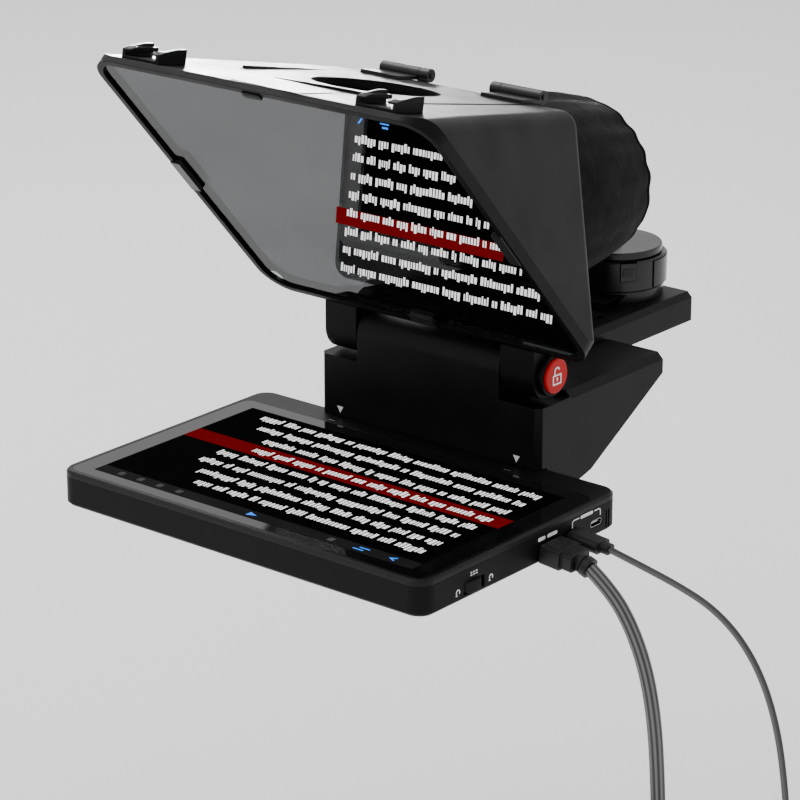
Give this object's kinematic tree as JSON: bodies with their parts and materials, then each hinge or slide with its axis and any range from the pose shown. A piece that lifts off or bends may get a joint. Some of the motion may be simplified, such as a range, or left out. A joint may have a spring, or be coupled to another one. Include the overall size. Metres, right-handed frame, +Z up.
{
  "type": "teleprompter",
  "caption": "Teleprompter with a flat monitor, a hinged hood holding a beam-splitter glass, a cloth lens shroud, a sliding camera rail with quick-release clamp, and two leads",
  "frame": {"origin": "mouth of the tripod thread in the middle of the boss under the base", "axes": "+Z up, -Y towards the person being filmed, +X the side with the ports"},
  "size_m": [0.3524, 0.3246, 0.4559],
  "materials": {
    "hood_plastic": "satin moulded black",
    "monitor_plastic": "satin moulded black",
    "cover_glass": "gloss black-backed cover glass",
    "mirror_glass": "half-silvered, gloss",
    "lcd": "dark display",
    "circuit_board": "solder mask",
    "steel": "bare",
    "brass_insert": "turned",
    "rubber": "matte",
    "black_aluminium": "black anodised",
    "red_button": "gloss with a white padlock mark",
    "shroud_cloth": "soft black cloth",
    "cord_jacket": "smooth jacket",
    "plug_plastic": "moulded, ribbed"
  },
  "bodies": {
    "base": {"wedge_shell": "black_aluminium", "front_block": "black_aluminium", "rail_bracket": "black_aluminium", "tripod_insert": "brass_insert", "hinge_rod": "steel", "dock_tongue_left": "black_aluminium", "dock_tongue_right": "black_aluminium"},
    "monitor": {"monitor_case": "monitor_plastic", "monitor_bezel": "monitor_plastic", "screen_glass": "cover_glass", "lcd_panel": "lcd", "main_board": "circuit_board", "mini_hdmi_socket": "steel", "usb_c_socket_front": "steel", "usb_c_socket_rear": "steel", "dial_encoder": "monitor_plastic", "case_screw_1": "steel", "case_screw_2": "steel", "case_screw_3": "steel", "case_screw_4": "steel", "rubber_foot_left": "rubber", "rubber_foot_right": "rubber", "hdmi_plug": "plug_plastic", "hdmi_cable": "cord_jacket", "hdmi_coil": "cord_jacket", "hdmi_far_plug": "plug_plastic", "usb_c_plug": "plug_plastic", "usb_c_cable": "cord_jacket", "usb_c_coil": "cord_jacket", "usb_c_far_plug": "plug_plastic"},
    "dial_carrier": {"dial_carrier": "monitor_plastic"},
    "scroll_dial": {"scroll_dial": "monitor_plastic"},
    "hood": {"hood_shell": "hood_plastic", "beam_splitter": "mirror_glass", "hinge_lug_left": "hood_plastic", "hinge_lug_right": "hood_plastic", "button_collar": "hood_plastic", "button_spring": "steel", "glass_clip_top": "hood_plastic", "glass_clip_bottom": "hood_plastic", "glass_clip_left": "hood_plastic", "glass_clip_right": "hood_plastic", "cold_shoe_left": "hood_plastic", "cold_shoe_right": "hood_plastic", "shroud_ring": "hood_plastic", "lens_shroud": "shroud_cloth", "hood_knuckle_left": "hood_plastic", "hood_knuckle_right": "hood_plastic"},
    "lock_button": {"lock_button": "red_button"},
    "top_lid": {"top_lid": "hood_plastic", "lid_knuckle_left": "hood_plastic", "lid_knuckle_right": "hood_plastic"},
    "camera_rail": {"camera_rail": "black_aluminium", "clamp_base": "black_aluminium", "clamp_body": "black_aluminium"},
    "clamp_lever": {"clamp_lever": "black_aluminium"},
    "clamp_catch": {"clamp_catch": "black_aluminium"},
    "camera_plate": {"camera_plate": "black_aluminium"},
    "camera_screw": {"camera_screw": "steel"}
  },
  "joints": [
    {"name": "monitor_slide", "type": "slide", "parent": "base", "child": "monitor", "axis": [0, -1, 0], "range_m": [0, 0.012]},
    {"name": "dial_press", "type": "slide", "parent": "monitor", "child": "dial_carrier", "axis": [-1, 0, 0], "range_m": [0, 0.0008], "stiffness_N_per_m": 1500, "springref_m": -0.001},
    {"name": "dial_turn", "type": "hinge", "parent": "dial_carrier", "child": "scroll_dial", "pos_m": [0.107, -0.1301, 0.008], "axis": [0, 0, 1], "continuous": true},
    {"name": "hood_tilt", "type": "hinge", "parent": "base", "child": "hood", "pos_m": [0, -0.0124, 0.066], "axis": [1, 0, 0], "range_deg": [0, 48]},
    {"name": "button_press", "type": "slide", "parent": "hood", "child": "lock_button", "axis": [-1, 0, 0], "range_m": [0, 0.0025], "stiffness_N_per_m": 500, "springref_m": -0.002, "deforming": ["button_spring"]},
    {"name": "lid_hinge", "type": "hinge", "parent": "hood", "child": "top_lid", "pos_m": [0, 0.0012, 0.19658], "axis": [-1, 0, 0], "range_deg": [0, 100]},
    {"name": "rail_slide", "type": "slide", "parent": "base", "child": "camera_rail", "axis": [0, 1, 0], "range_m": [0, 0.04]},
    {"name": "lever_swing", "type": "hinge", "parent": "camera_rail", "child": "clamp_lever", "pos_m": [0.01411, 0.15272, 0.075], "axis": [0, 0, 1], "range_deg": [0, 70]},
    {"name": "catch_press", "type": "slide", "parent": "camera_rail", "child": "clamp_catch", "axis": [-0.7771, 0.6293, 0], "range_m": [0, 0.001], "stiffness_N_per_m": 800, "springref_m": -0.001},
    {"name": "plate_lift", "type": "slide", "parent": "camera_rail", "child": "camera_plate", "axis": [0, 0, 1], "range_m": [0, 0.008]},
    {"name": "screw_turn", "type": "hinge", "parent": "camera_plate", "child": "camera_screw", "pos_m": [0, 0.131, 0.0795], "axis": [0, 0, 1], "continuous": true}
  ]
}
